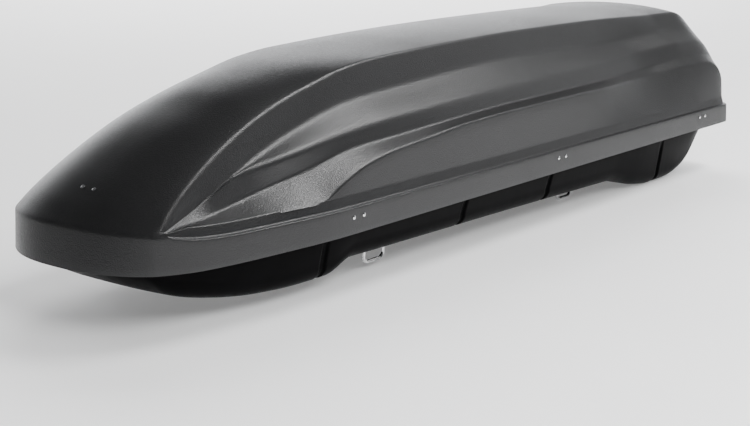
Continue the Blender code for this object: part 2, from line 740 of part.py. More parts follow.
def make_base_leaf(number, frame, steel):
    half = HINGE_LENGTH / 2
    third = HINGE_LENGTH / 6
    top = RIM_Z + GAP + LEAF - HINGE_Z
    plate = block((-half, LEAF_START, top - LEAF), (half, BASE_LEAF_END, top))
    leaf = add_object(f"hinge_base_leaf_{number}", plate, steel, frame)
    neck = block((-third, 0.0, top - LEAF), (third, LEAF_START * 2, top))
    join(leaf, neck, knuckle(-third, third))
    cut(leaf, pin_hole())
    soften(leaf)


def make_lid_leaf(number, frame, steel):
    half = HINGE_LENGTH / 2
    third = HINGE_LENGTH / 6
    wall = lid_leaf_y()
    plate = block((-half, wall, LEAF_START), (half, wall + LEAF, LID_LEAF_TOP))
    leaf = add_object(f"hinge_lid_leaf_{number}", plate, steel, frame)
    for side in (-1, 1):
        low, high = sorted((side * (third + KNUCKLE_GAP), side * half))
        upright = block((low, wall, 0.0), (high, wall + LEAF, LEAF_START + LEAF))
        neck = block((low, wall, 0.0), (high, 0.0, LEAF * 1.25))
        join(leaf, upright, neck, knuckle(low, high))
    cut(leaf, pin_hole(), *rivet_holes(wall, RIVET_Z - HINGE_Z, 0.02))
    soften(leaf)


def make_hinge(number, x, steel, bright):
    frame = side_frame(x, -1, HINGE_INSET, HINGE_Z)
    make_base_leaf(number, frame, steel)
    make_lid_leaf(number, frame, steel)

    shank = bar((0, 0, 0), PIN_RADIUS, HINGE_LENGTH + 0.002, "X", 16)
    pin = add_object(f"hinge_pin_{number}", shank, bright, frame)
    join(pin, bar((HINGE_LENGTH / 2 + PIN_HEAD - 0.0001, 0, 0), PIN_RADIUS * 1.6, PIN_HEAD, "X", 16))
    soften(pin)

    seat = side_frame(x, -1, 0.0, RIVET_Z)
    make_rivet_pair(f"hinge_rivets_{number}", seat, bright, -1, 0.0010, lid_leaf_y() + LEAF + HINGE_INSET)


def make_rivet_pair(name, frame, material, out, face, back):
    """Two rivets on one backing strip. Local Y: out is the outer side, back the strip's depth."""
    length, thick, height = RIVET_STRIP
    low, high = sorted((-out * (back + GAP), -out * (back + GAP + thick)))
    strip = block((-length / 2, low, -height / 2), (length / 2, high, height / 2))
    pair = add_object(name, strip, material, frame)
    near = out * (-face + GAP)
    far = -out * (back + GAP + thick / 2)
    for side in (-1, 1):
        x = side * RIVET_PITCH / 2
        shank = bar((x, (near + far) / 2, 0), RIVET_SHANK, abs(near - far) + 2 * GAP, "Y", 10)
        join(pair, shank, rivet_head(x, near, out))
    return soften(pair, 35)


def rivet_head(x, seat, out):
    bm = bmesh.new()
    turn = Matrix.Rotation(-out * pi / 2, 4, "X")
    matrix = Matrix.Translation((x, seat + out * HEAD_DEPTH / 2, 0)) @ turn
    bmesh.ops.create_cone(bm, cap_ends=True, segments=14, radius1=RIVET_HEAD, radius2=RIVET_HEAD * 0.45,
                          depth=HEAD_DEPTH, matrix=matrix)
    return bm


# ---- lock ------------------------------------------------------------------------------------
def inboard_block(x, inset, z):
    """A block on the lock's side, given by its x range, its depth inboard and its z range."""
    return block((x[0], -inset[1], z[0]), (x[1], -inset[0], z[1]))


def make_cylinder(turn, bright):
    """The lock's barrel with its escutcheon, cam disc and cam pin, and the key in it."""
    swing = -LOCK_CRANK * sin(pi / 4)
    barrel = bar((0, -0.0060, 0), LOCK_RADIUS, 0.0128, "Y", 20)
    escutcheon = bar((0, 0.0006, 0), ESCUTCHEON_RADIUS, 0.0020, "Y", 20)
    cam = bar((0, -0.0128, 0), CAM_RADIUS, 0.0014, "Y", 20)
    cylinder = add_object("lock_cylinder", barrel, bright, turn)
    join(cylinder, escutcheon, cam, bar((swing, -0.0152, swing), CAM_PIN_RADIUS, 0.0048, "Y", 10))
    wide, high = (size / 2 for size in KEYWAY)
    cut(cylinder, block((-wide, -0.0060, -high), (wide, 0.0030, high)))
    soften(cylinder)

    key = add_object("key", bar((0, KEY_BOW + 0.0020, 0), KEY_BOW, 0.0020, "X", 20), bright, turn)
    wide, high = (size / 2 for size in KEY_BLADE)
    join(key, block((-wide, -0.0050, -high), (wide, 0.0060, high)))
    cut(key, bar((0, 0.0150, 0.0), KEY_BOW * 0.295, 0.02, "X", 12))
    soften(key)


def make_latch(number, x, steel):
    """A hook that hangs from the lock bar, and the striker plate that it slides under."""
    spot = side_frame(x, 1)
    stem = inboard_block((0.0, HOOK_STEM[0]), HOOK_INSET, (HOOK_LOW, HOOK_STEM[1]))
    hook = add_object(f"latch_hook_{number}", stem, steel, spot)
    join(hook, inboard_block((0.0, HOOK_TOE[0]), HOOK_INSET, (HOOK_LOW, HOOK_TOE[1])))
    low = RIM_Z + GAP
    plate = inboard_block(STRIKER_X, STRIKER_INSET, (low, low + STRIKER_THICK))
    striker = add_object(f"latch_striker_{number}", plate, steel, spot)
    cut(striker, inboard_block(STRIKER_SLOT_X, STRIKER_SLOT_INSET, (low - 0.01, low + 0.01)))


def make_guide(name, x, black):
    half = GUIDE_LENGTH / 2
    body = inboard_block((-half, half), GUIDE_INSET, GUIDE_Z)
    guide = add_object(f"lock_bar_guide_{name}", body, black, side_frame(x, 1))
    inset = (BAR_INSET[0] - GAP, BAR_INSET[1] + GAP)
    cut(guide, inboard_block((-GUIDE_LENGTH, GUIDE_LENGTH), inset, (BAR_Z[0] - GAP, BAR_Z[1] + GAP)))


def make_lock(black, steel, bright):
    frame = side_frame(LOCK_X, 1)
    long, high = (size / 2 for size in HOUSING)
    body = inboard_block((-long, long), HOUSING_INSET, (LOCK_Z - high, LOCK_Z + high))
    housing = add_object("lock_housing", body, black, frame)
    soften(cut(housing, bar((0, -0.009, LOCK_Z), LOCK_RADIUS + 0.0004, 0.02, "Y", 20)))
    make_cylinder(side_frame(LOCK_X, 1, 0.0, LOCK_Z), bright)

    rod = inboard_block((BAR_FRONT_X - LOCK_X, BAR_REAR_X - LOCK_X), BAR_INSET, BAR_Z)
    slider = add_object("lock_bar", rod, steel, frame)
    middle = -LOCK_CRANK * sin(pi / 4)
    wide, low, top = BAR_SLOT
    cut(slider, block((middle - wide / 2, -0.02, low), (middle + wide / 2, -0.01, top)))
    for number, x in enumerate(HOOK_X, 1):
        make_latch(number, x, steel)
    for name, x in zip(("front", "rear"), GUIDE_X):
        make_guide(name, x, black)


# ---- lid struts ------------------------------------------------------------------------------
def strut_length():
    return hypot(STRUT_HEAD[0] - STRUT_FOOT[0], STRUT_HEAD[1] - STRUT_FOOT[1])


def stud(y, z):
    return bar((STUD_CENTRE, y, z), STUD_RADIUS, STUD_LENGTH, "X", 12)


def make_tube(name, foot, black):
    barrel = bar((0, 0, sum(TUBE_Z) / 2), TUBE_RADIUS, TUBE_Z[1] - TUBE_Z[0], "Z", 16)
    tube = add_object(f"strut_tube_{name}", barrel, black, foot)
    neck = bar((0, 0, 0.007), NECK_RADIUS, 0.012, "Z", 12)
    join(tube, neck, bar((0, 0, 0), FOOT_RADIUS, FOOT_LENGTH, "X", 16))
    bore = bar((0, 0, TUBE_BORE_START + 0.025), ROD_RADIUS + GAP, 0.050, "Z", 12)
    cut(tube, bar((0, 0, 0), STUD_RADIUS + GAP, 0.02, "X", 12), bore)
    soften(tube)


def make_rod(name, foot, bright):
    """The strut's rod: its eye has play on the lid bracket's stud."""
    reach = strut_length()
    end = reach - EYE_HOLE - 0.0012
    shaft = bar((0, 0, (ROD_START + end) / 2), ROD_RADIUS - 0.0002, end - ROD_START, "Z", 12)
    rod = add_object(f"strut_rod_{name}", shaft, bright, foot)
    join(rod, bar((0, 0, reach), EYE_RADIUS, FOOT_LENGTH, "X", 20))
    cut(rod, bar((0, 0, reach), EYE_HOLE, 0.02, "X", 20))
    soften(rod)


def make_base_bracket(name, side, steel):
    y, z = STRUT_FOOT
    seat = RIM_Z + GAP - HINGE_Z
    near, far = BASE_BRACKET_Y
    plate = block((BRACKET_X[0], near, seat), (BASE_BRACKET_X, far, seat + BRACKET_THICK))
    bracket = add_object(f"strut_base_bracket_{name}", plate, steel, side)
    tab = block((BRACKET_X[0], BASE_TAB_Y, seat), (BRACKET_X[1], y + BRACKET_TIP[0], z + BRACKET_TIP[1]))
    join(bracket, tab, stud(y, z))


def make_lid_bracket(name, x, side, steel):
    y, z = STRUT_HEAD
    inset = smooth_line([(a, b) for a, b, _ in PANEL_TOP])(x) * PANEL_SHARE
    wall = inset + 0.0165 + LID_WALL + 0.0018 - HINGE_INSET
    low, high = LID_BRACKET_Z
    plate = block((LID_BRACKET_X[0], wall, low), (LID_BRACKET_X[1], wall + BRACKET_THICK, high))
    bracket = add_object(f"strut_lid_bracket_{name}", plate, steel, side)
    tab = block((BRACKET_X[0], wall, z - 0.012), (BRACKET_X[1], y + BRACKET_TIP[0], z + BRACKET_TIP[1]))
    join(bracket, tab, stud(y, z))


def make_strut(name, x, black, bright, steel):
    side = side_frame(x, -1, HINGE_INSET, HINGE_Z)
    lean = atan((STRUT_HEAD[0] - STRUT_FOOT[0]) / (STRUT_HEAD[1] - STRUT_FOOT[1]))
    foot = side @ Matrix.Translation((0, *STRUT_FOOT)) @ Matrix.Rotation(-lean, 4, "X")
    make_tube(name, foot, black)
    make_rod(name, foot, bright)
    make_base_bracket(name, side, steel)
    make_lid_bracket(name, x, side, steel)


# ---- clamps ----------------------------------------------------------------------------------
def floor_top():
    return BASE_WALL + GAP


def rail_top():
    return floor_top() + RAIL_THICK + GAP


def make_rails(steel):
    long, wide = (size / 2 for size in SLOT_SIZE)
    for name, side in (("left", -1), ("right", 1)):
        y = side * CLAMP_Y
        low = (RAIL_X[0], y - RAIL_WIDTH / 2, floor_top())
        high = (RAIL_X[1], y + RAIL_WIDTH / 2, floor_top() + RAIL_THICK)
        rail = add_object(f"base_rail_{name}", block(low, high), steel, floor_frame())
        slots = []
        for x, leg in product(BAR_X, (-1, 1)):
            middle = x + leg * LEG_SPACING / 2
            slots.append(block((middle - long, y - wide, -0.01), (middle + long, y + wide, 0.02)))
        cut(rail, *slots)


def star_outline(points, radius, depth, lobes):
    outline = []
    for i in range(points):
        angle = 2 * pi * i / points
        reach = radius - depth * (1 - cos(lobes * angle)) / 2
        outline.append((reach * cos(angle), reach * sin(angle)))
    return outline


def make_knob(name, place, material):
    outline = star_outline(30, KNOB_RADIUS, KNOB_LOBE_DEPTH, KNOB_LOBES)
    knob = add_object(name, extrusion(outline, KNOB_SKIRT, KNOB_HEIGHT, "Z"), material, place)
    join(knob, bar((0, 0, HUB_HEIGHT / 2), HUB_RADIUS, HUB_HEIGHT, "Z", 16))
    cut(knob, bar((0, 0, 0), LEG_RADIUS + GAP, 0.08, "Z", 16))
    return soften(knob, 50)


def make_u_bolt(name, place, material):
    half = LEG_SPACING / 2
    low = -CROSSBAR_DEPTH - 0.0005 - LEG_RADIUS
    route = [(-half, LEG_TOP)]
    for centre, start in ((-half + U_CORNER, 180), (half - U_CORNER, 270)):
        for step in range(5):
            a = radians(start + step * 22.5)
            route.append((centre + U_CORNER * cos(a), low + U_CORNER + U_CORNER * sin(a)))
    route.append((half, LEG_TOP))
    curve = bpy.data.curves.new(name, "CURVE")
    curve.dimensions = "3D"
    curve.bevel_depth = LEG_RADIUS
    curve.bevel_resolution = 2
    curve.use_fill_caps = True
    spline = curve.splines.new("POLY")
    spline.points.add(len(route) - 1)
    for point, (x, z) in zip(spline.points, route):
        point.co = (x, 0.0, z, 1.0)
    curve.materials.append(material)
    bolt = bpy.data.objects.new(name, curve)
    bpy.context.scene.collection.objects.link(bolt)
    bolt.matrix_world = place
    return bolt


def make_clamp(name, place, steel, bright, black):
    make_u_bolt(f"u_bolt_{name}", place, bright)
    low = rail_top()
    long, wide = (size / 2 for size in PLATE_SIZE)
    plate = add_object(f"clamp_plate_{name}", block((-long, -wide, low), (long, wide, low + PLATE_THICK)),
                       steel, place)
    legs = (-LEG_SPACING / 2, LEG_SPACING / 2)
    cut(plate, *[bar((x, 0, low), LEG_RADIUS + 0.0006, 0.02, "Z", 12) for x in legs])
    for letter, x in zip("ab", legs):
        seat = place @ Matrix.Translation((x, 0, low + PLATE_THICK + GAP))
        make_knob(f"knob_{name}_{letter}", seat, black)


def make_clamps(steel, bright, black):
    for row, x in zip(("front", "rear"), BAR_X):
        for side, y in (("left", -CLAMP_Y), ("right", CLAMP_Y)):
            make_clamp(f"{row}_{side}", floor_frame(x, y), steel, bright, black)


# ---- straps and nose -------------------------------------------------------------------------
def strap_outline():
    """The strap from the side: it lies on the floor and climbs onto both rails."""
    high = rail_top()
    low = floor_top()
    end = CLAMP_Y + RAIL_WIDTH / 2
    step = CLAMP_Y - RAIL_WIDTH / 2 - 0.004
    under = [(step - STRAP_RAMP, low), (step, high), (end, high)]
    under = [(-y, z) for y, z in reversed(under)] + under
    return under + [(y, z + STRAP_THICK) for y, z in reversed(under)]


def make_buckle(number, x, black):
    low = floor_top() + STRAP_THICK + GAP
    near, far = BUCKLE_Y
    half = BUCKLE_WIDTH / 2
    body = block((x - half, near, low), (x + half, far, low + BUCKLE_THICK))
    buckle = add_object(f"strap_buckle_{number}", body, black, floor_frame())
    half = BUCKLE_SLOT_WIDTH / 2
    cut(buckle, *[block((x - half, a, low - 0.01), (x + half, b, low + 0.02)) for a, b in BUCKLE_SLOTS])


def make_straps(webbing, black):
    for number, x in enumerate(STRAP_X, 1):
        band = extrusion(strap_outline(), x - STRAP_WIDTH / 2, x + STRAP_WIDTH / 2, "X")
        add_object(f"cargo_strap_{number}", band, webbing, floor_frame())
        make_buckle(number, x, black)


def make_nose_bracket(steel, bright):
    frame = nose_rivet_frame()
    top = -(LID_WALL + NOSE_PLATE_GAP)
    low, high = NOSE_PLATE_Z
    plate = block((-NOSE_PLATE_X, top - NOSE_PLATE_THICK, low), (NOSE_PLATE_X, top, high))
    bracket = add_object("nose_bracket", plate, steel, frame)
    flange = block((-NOSE_PLATE_X, top - NOSE_FLANGE, high - NOSE_PLATE_THICK), (NOSE_PLATE_X, top, high))
    join(bracket, flange)
    cut(bracket, *rivet_holes(top, 0.0, 0.01))
    make_rivet_pair("nose_rivets", frame, bright, 1, 0.0, -top + NOSE_PLATE_THICK)


def raise_to_origin():
    """Everything is laid out from the front end of the floor; the origin is at the floor's middle."""
    bpy.context.view_layer.update()
    for piece in bpy.context.scene.objects:
        piece.matrix_world = Matrix.Translation((0, 0, floor_fall(0.0))) @ piece.matrix_world


def build():
    clear_scene()
    charcoal = paint("lid_abs", (0.045, 0.045, 0.047), 0.45)
    black_abs = paint("base_abs", (0.012, 0.012, 0.013), 0.5)
    steel = paint("zinc_steel", (0.55, 0.56, 0.57), 0.38, 1.0)
    bright = paint("bright_steel", (0.75, 0.76, 0.77), 0.25, 1.0)
    black = paint("black_nylon", (0.02, 0.02, 0.02), 0.55)
    webbing = paint("webbing", (0.03, 0.03, 0.032), 0.9)
    make_lid_shell(charcoal)
    make_base_shell(black_abs)
    make_rails(steel)
    for number, x in enumerate(HINGE_X, 1):
        make_hinge(number, x, steel, bright)
    make_lock(black, steel, bright)
    for name, x in zip(("front", "rear"), STRUT_X):
        make_strut(name, x, black, bright, steel)
    make_clamps(steel, bright, black)
    make_straps(webbing, black)
    make_nose_bracket(steel, bright)
    raise_to_origin()


build()
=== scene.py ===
import json
from math import cos, pi, radians, sin

import bmesh
import bpy
import numpy as np
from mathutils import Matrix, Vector


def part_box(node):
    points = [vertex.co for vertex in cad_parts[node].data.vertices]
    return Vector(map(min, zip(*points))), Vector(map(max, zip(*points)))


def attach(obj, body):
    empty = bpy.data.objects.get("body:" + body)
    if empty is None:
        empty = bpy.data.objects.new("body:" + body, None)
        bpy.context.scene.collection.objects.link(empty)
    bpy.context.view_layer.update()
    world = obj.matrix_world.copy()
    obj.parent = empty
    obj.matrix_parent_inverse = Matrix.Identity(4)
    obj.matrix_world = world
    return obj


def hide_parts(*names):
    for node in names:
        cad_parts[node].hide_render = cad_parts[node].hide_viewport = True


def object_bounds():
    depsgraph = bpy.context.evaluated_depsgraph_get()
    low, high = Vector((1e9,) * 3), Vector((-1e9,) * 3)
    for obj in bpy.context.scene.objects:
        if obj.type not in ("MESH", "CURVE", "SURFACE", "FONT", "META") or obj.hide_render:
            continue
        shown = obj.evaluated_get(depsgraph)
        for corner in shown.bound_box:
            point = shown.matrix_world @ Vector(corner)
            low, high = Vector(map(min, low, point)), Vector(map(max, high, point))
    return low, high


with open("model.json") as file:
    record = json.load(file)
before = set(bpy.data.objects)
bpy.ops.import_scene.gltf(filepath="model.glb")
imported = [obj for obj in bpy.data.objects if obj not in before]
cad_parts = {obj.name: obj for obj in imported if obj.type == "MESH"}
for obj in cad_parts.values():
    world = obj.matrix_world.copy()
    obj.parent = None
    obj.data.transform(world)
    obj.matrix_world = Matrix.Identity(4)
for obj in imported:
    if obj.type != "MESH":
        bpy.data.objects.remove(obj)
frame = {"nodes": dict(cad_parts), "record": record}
cad_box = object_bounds()
node_body = {node: body for body, nodes in frame["record"]["behaviour"]["bodies"].items() for node in nodes}
node_slot = {part["node"]: part["material_slot"] for part in frame["record"]["subparts"]}

# ---- shape of the lid, in the box's own layout, whose floor starts at height 0 -------------------
EDGE_Z = 0.072
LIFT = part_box("lid_shell")[0].z - EDGE_Z      # from the layout to the row frame
LID_WALL = 0.0036
BASE_WALL = 0.0038
EDGE_WIDTH = [(-0.935, 0.181), (-0.87, 0.212), (-0.80, 0.229), (-0.709, 0.2435), (-0.56, 0.2613),
              (-0.454, 0.2654), (0.0, 0.2817), (0.93, 0.315)]
FLANGE_TOP = [(-0.935, 0.138), (-0.87, 0.126), (-0.80, 0.1225), (0.90, 0.117), (1.0, 0.116)]
LEDGE_WIDTH = [(-0.935, 0.0), (-0.90, 0.009), (-0.86, 0.015), (0.30, 0.015), (1.0, 0.013)]
LEDGE_RISE = 0.019
FULL_LEDGE = 0.013
CHANNEL_DEPTH = 0.0065
CHANNEL_PLACE = 0.78
FLANGE_DRAFT = 0.002
NOSE_DRAFT = 0.013
CORNER = (-0.935, 0.179, 0.138)
NOSE_EDGE_X = -0.985
NOSE_CURVE = 2.8
HOOD_ARCH = 2.2
CREST = [(-0.985, 0.142), (-0.95, 0.178), (-0.878, 0.227), (-0.783, 0.274), (-0.706, 0.301),
         (-0.64, 0.323), (-0.556, 0.341), (-0.44, 0.357), (-0.3, 0.365), (-0.1, 0.373),
         (0.08, 0.375), (0.3, 0.374), (0.6, 0.369), (0.8, 0.366), (0.94, 0.363)]
RIDGE = [CORNER, (-0.9, 0.170, 0.168), (-0.8, 0.156, 0.228), (-0.7, 0.147, 0.273),
         (-0.6, 0.140, 0.305), (-0.5, 0.137, 0.329), (-0.4, 0.137, 0.349), (-0.3, 0.137, 0.358),
         (0.1, 0.141, 0.3645), (0.5, 0.150, 0.3595), (0.8, 0.165, 0.350)]
UPPER_FACET_TOP = [CORNER, (-0.85, 0.172, 0.163), (-0.75, 0.170, 0.2035), (-0.685, 0.166, 0.2266),
                   (-0.582, 0.163, 0.2576), (-0.415, 0.162, 0.2916), (-0.263, 0.163, 0.300),
                   (0.121, 0.167, 0.3156), (0.514, 0.178, 0.3066), (0.8, 0.212, 0.314)]
UPPER_FACET_FOOT = [CORNER, (-0.85, 0.172, 0.163), (-0.75, 0.170, 0.2035), (-0.62, 0.190, 0.224),
                    (-0.462, 0.200, 0.245), (-0.325, 0.209, 0.2547), (-0.087, 0.213, 0.2607),
                    (0.147, 0.214, 0.2627), (0.6, 0.216, 0.270), (0.8, 0.243, 0.284)]
LOWER_FACET_TOP = [CORNER, (-0.853, 0.186, 0.147), (-0.76, 0.182, 0.159), (-0.682, 0.188, 0.1747),
                   (-0.579, 0.205, 0.1956), (-0.479, 0.215, 0.2147), (-0.343, 0.225, 0.2227),
                   (-0.203, 0.232, 0.2286), (0.024, 0.235, 0.2338), (0.223, 0.238, 0.2345),
                   (0.6, 0.240, 0.240), (0.8, 0.262, 0.253)]
PANEL_TOP = [(-0.542, 0.0025, 0.161), (-0.498, 0.0030, 0.178), (-0.454, 0.0035, 0.191),
             (-0.375, 0.0035, 0.203), (-0.285, 0.0040, 0.2096), (-0.151, 0.0045, 0.221),
             (0.023, 0.0050, 0.2254), (0.254, 0.0090, 0.226), (0.377, 0.0140, 0.2235),
             (0.6, 0.0350, 0.221), (0.8, 0.0230, 0.233)]
PANEL_START = -0.585
SET_BACK = (0.0, 0.008, 0.0, 0.007)
SET_BACK_FROM = (-0.80, -0.62)
SET_BACK_AFT = 1.4
SET_BACK_DOWN = 0.31
TAIL_EDGE_X = 0.985
TAIL_BOW = 0.006
TAIL_HALF = 0.285
TAIL_CORNER = 0.022
TAIL_CORNER_Y = 0.265
TAIL_SPREAD = [0.195, 0.232, 0.258]
TAIL_START = 0.90
TAIL_START_SWEEP = 0.06
TAIL_START_HALF = 0.29
TAIL_DROP = 2.9
SIDE_BLEND_X = 0.80                           # behind this the side lines run to the tail's corner

# how finely the skins are made, and the radius of each feature line
LID_ROWS = 150
ROW_EASE = 0.55
FIRST_ROW = 0.0075                            # share of the length that the nose edge's radius may use
LAST_ROW = 0.9975
HOOD_COLUMNS = 16
ARC_STEPS = 4
LINE_RADII = [0.0075, 0.0090, 0.0100, 0.0050, 0.0045]
FLATS = [3, 3, 2, 3, 3]                       # extra points on each flat below a feature line
NOSE_RADIUS = 0.0065
LEDGE_RADIUS = 0.0028
CHANNEL_RADIUS = 0.0035
FLANGE_RADIUS = 0.0034
FLANGE_FLATS = 4
FILLET_SHARE = 0.45                           # most of a side that one arc may use
NOSE_STEPS = 3 * ARC_STEPS + 2                # gives the nose's single arc as many points as the edge profile
FULL_PROFILE = 0.012                          # ledge width from which the ledge's own profile is used
NEXT_INWARD = 0.003
MERGE_STEP = 0.0005
SAME_PLACE = 0.00001
NO_LEDGE = 0.0001
WELD = 0.00005
SMOOTH_ANGLE = 32

# ---- shape of the tub ----------------------------------------------------------------------------
RIM_Z = 0.076
RIM_LIP = 0.013
SKIN_TOP = RIM_Z - BASE_WALL
SADDLE_X = (-0.46, 0.47)
SADDLE_FALL = 0.0157
WALL_DRAFT = 0.012
FLOOR_RADIUS = 0.030
RIM_WIDTH = [(-0.922, 0.131), (-0.905, 0.146), (-0.856, 0.169), (-0.791, 0.187), (-0.709, 0.202),
             (-0.554, 0.218), (-0.454, 0.2254), (0.0, 0.2417), (0.89, 0.2735), (0.93, 0.264)]
BASE_NOSE = (-0.960, -0.922)
BASE_TAIL = (0.966, 0.937)
END_REACH = 0.22
FLOOR = [(-0.960, 0.0722), (-0.93, 0.047), (-0.88, 0.016), (-0.80, -0.004), (-0.70, -0.018),
         (-0.60, -0.023), (-0.53, -0.022), (SADDLE_X[0], 0.0), (SADDLE_X[1], 0.0), (0.53, -0.009),
         (0.60, -0.026), (0.68, -0.034), (0.76, -0.032), (0.83, -0.018), (0.89, 0.012), (0.935, 0.045),
         (0.966, 0.0722)]
GROOVES = [-0.552, -0.124, 0.193, 0.689]
GROOVE_HALF = 0.006
GROOVE_SIDE = 0.003
GROOVE_DEPTH = 0.005
GROOVE_ABOVE = 0.8                            # share of the depth that is left near the rim
GROOVE_STATIONS = (0.0, 0.003, 0.0056, 0.0066, 0.0075, 0.0084, 0.0094, 0.013)
GROOVE_CLEAR = 0.016
BASE_SPACING = 0.0125
END_SPACING = 0.0015
NOSE_GAP = 0.006
TAIL_GAP = 0.004
END_ROUNDNESS = 2.5
FULL_DRAFT_DEPTH = 0.05
FLOOR_STATIONS = (0.0, 0.2, 0.42, 0.62)
FLOOR_MARGIN = 0.008
WALL_BEND = (0.7, 0.6)                        # where the wall turns upright: outwards, and upwards
WALL_STATIONS = (0.25, 0.5, 0.75)
SHOULDER = (0.007, 0.2)                       # most below the rim's skin, in metres and by depth
LIP_RADIUS = 0.002


# ---- small tools ---------------------------------------------------------------------------------
def smooth_line(points):
    """A monotone cubic through (x, value) points, level beyond both ends."""
    x = np.array([p[0] for p in points], float)
    v = np.array([p[1] for p in points], float)
    step = np.diff(x)
    slope = np.diff(v) / step
    tangent = np.zeros_like(v)
    tangent[0] = slope[0]
    tangent[-1] = slope[-1]
    for i in range(1, len(x) - 1):
        if slope[i - 1] * slope[i] > 0:
            w1 = 2 * step[i] + step[i - 1]
            w2 = step[i] + 2 * step[i - 1]
            tangent[i] = (w1 + w2) / (w1 / slope[i - 1] + w2 / slope[i])

    def value(at):
        at = min(max(at, x[0]), x[-1])
        i = min(int(np.searchsorted(x, at, side="right")) - 1, len(step) - 1)
        s = (at - x[i]) / step[i]
        rise = (2 * s ** 3 - 3 * s ** 2 + 1) * v[i] + (3 * s ** 2 - 2 * s ** 3) * v[i + 1]
        bend = (s ** 3 - 2 * s ** 2 + s) * tangent[i] + (s ** 3 - s ** 2) * tangent[i + 1]
        return float(rise + step[i] * bend)
    return value


edge_width = smooth_line(EDGE_WIDTH)
flange_top = smooth_line(FLANGE_TOP)
ledge_width = smooth_line(LEDGE_WIDTH)
crest = smooth_line(CREST)
rim_width = smooth_line(RIM_WIDTH)
floor_profile = smooth_line(FLOOR)


def fillet(before, corner, after, radius, steps):
    """The corner of a polyline as a small arc, no longer than its two sides allow."""
    back = before - corner
    ahead = after - corner
    start = corner + back.normalized() * min(radius, FILLET_SHARE * back.length)
    end = corner + ahead.normalized() * min(radius, FILLET_SHARE * ahead.length)
    arc = []
    for i in range(steps + 1):
        s = i / steps
        arc.append(start * (1 - s) ** 2 + corner * 2 * s * (1 - s) + end * s ** 2)
    return arc


def between(a, b, count):
    return [a.lerp(b, (i + 1) / (count + 1)) for i in range(count)]


def mirrored(row):
    return [Vector((p.x, -p.y, p.z)) for p in reversed(row[1:])] + row


def add_grid(bm, rows):
    grid = [[bm.verts.new((p.x, p.y, p.z + LIFT)) for p in row] for row in rows]
    for a, b in zip(grid, grid[1:]):
        for j in range(len(a) - 1):
            bm.faces.new((a[j], a[j + 1], b[j + 1], b[j]))


def outward(loop, i):
    """Plan normal of a half loop that starts and ends on the centre line."""
    before = loop[i - 1] if i > 0 else Vector((loop[0].x, -loop[1].y, 0))
    after = loop[i + 1] if i < len(loop) - 1 else Vector((loop[-1].x, -loop[-2].y, 0))
    along = after - before
    return Vector((-along.y, along.x, 0.0)).normalized()


def shell(name, bm, thickness, faces_up):
    """A sheet of even thickness whose given skin is its outer face."""
    bmesh.ops.remove_doubles(bm, verts=bm.verts, dist=WELD)
    bmesh.ops.dissolve_degenerate(bm, edges=bm.edges, dist=WELD)
    bmesh.ops.recalc_face_normals(bm, faces=bm.faces)
    upward = sum(f.normal.z * f.calc_area() for f in bm.faces) > 0
    if upward != faces_up:
        bmesh.ops.reverse_faces(bm, faces=bm.faces)
    mesh = bpy.data.meshes.new(name)
    bm.to_mesh(mesh)
    bm.free()
    piece = bpy.data.objects.new(name, mesh)
    bpy.context.scene.collection.objects.link(piece)
    step = piece.modifiers.new("Solidify", "SOLIDIFY")
    step.thickness = thickness
    step.offset = -1.0
    step.use_even_offset = False
    return piece


def finished(piece, angle=SMOOTH_ANGLE):
    """The piece with its modifiers made real, and smooth shading between its edges."""
    bpy.context.view_layer.update()
    graph = bpy.context.evaluated_depsgraph_get()
    mesh = bpy.data.meshes.new_from_object(piece.evaluated_get(graph))
    piece.modifiers.clear()
    piece.data = mesh
    mesh.shade_smooth()
    mesh.set_sharp_from_angle(angle=radians(angle))
    return piece


# ---- lid -----------------------------------------------------------------------------------------
def ledge_share(x):
    """0 where the ledge has no width, 1 where it has its full rise."""
    return min(1.0, ledge_width(x) / FULL_LEDGE)


def ledge_top(x):
    return flange_top(x) + LEDGE_RISE * ledge_share(x)


def ledge_y(x):
    """Half-width of the ledge's upper edge."""
    return edge_width(x) - FLANGE_DRAFT - ledge_width(x)


def set_back(point, depth):
    """A point of a side line, moved into the side along with the line."""
    x, y, z = point
    share = min(1.0, max(0.0, (x - SET_BACK_FROM[0]) / (SET_BACK_FROM[1] - SET_BACK_FROM[0])))
    back = depth * share
    return (x + SET_BACK_AFT * back, y - back, z - SET_BACK_DOWN * back)


def side_lines():
    """Half-width and height along x of each line from the ridge down to the ledge."""
    lines = []
    for table, depth in zip((RIDGE, UPPER_FACET_TOP, UPPER_FACET_FOOT, LOWER_FACET_TOP), SET_BACK):
        points = [set_back(point, depth) for point in table]
        width = smooth_line([(x, y) for x, y, _ in points])
        height = smooth_line([(x, z) for x, _, z in points])
        lines.append((width, height))

    start = (PANEL_START, 0.0, ledge_top(PANEL_START))
    inset = smooth_line([(x, y) for x, y, _ in [start] + PANEL_TOP])
    height = smooth_line([(x, z) for x, _, z in [start] + PANEL_TOP])

    def panel_y(x):
        return ledge_y(x) - inset(x)

    def panel_z(x):
        return height(x) if x > PANEL_START else ledge_top(x)
    return lines + [(panel_y, panel_z), (ledge_y, ledge_top)]


def tail_plan(y):
    return TAIL_EDGE_X - TAIL_BOW * (y / TAIL_HALF) ** 2


def tail_ends():
    """Last point (x, half-width) of each side line, on the plan of the tail's ledge."""
    ends = [(tail_plan(y), y) for y in TAIL_SPREAD]
    side_x = tail_plan(TAIL_CORNER_Y) - TAIL_CORNER
    side_y = ledge_y(side_x)
    for angle in (0.0, pi / 4, pi / 2):
        ends.append((side_x + TAIL_CORNER * cos(angle), side_y - TAIL_CORNER * (1 - sin(angle))))
    return ends


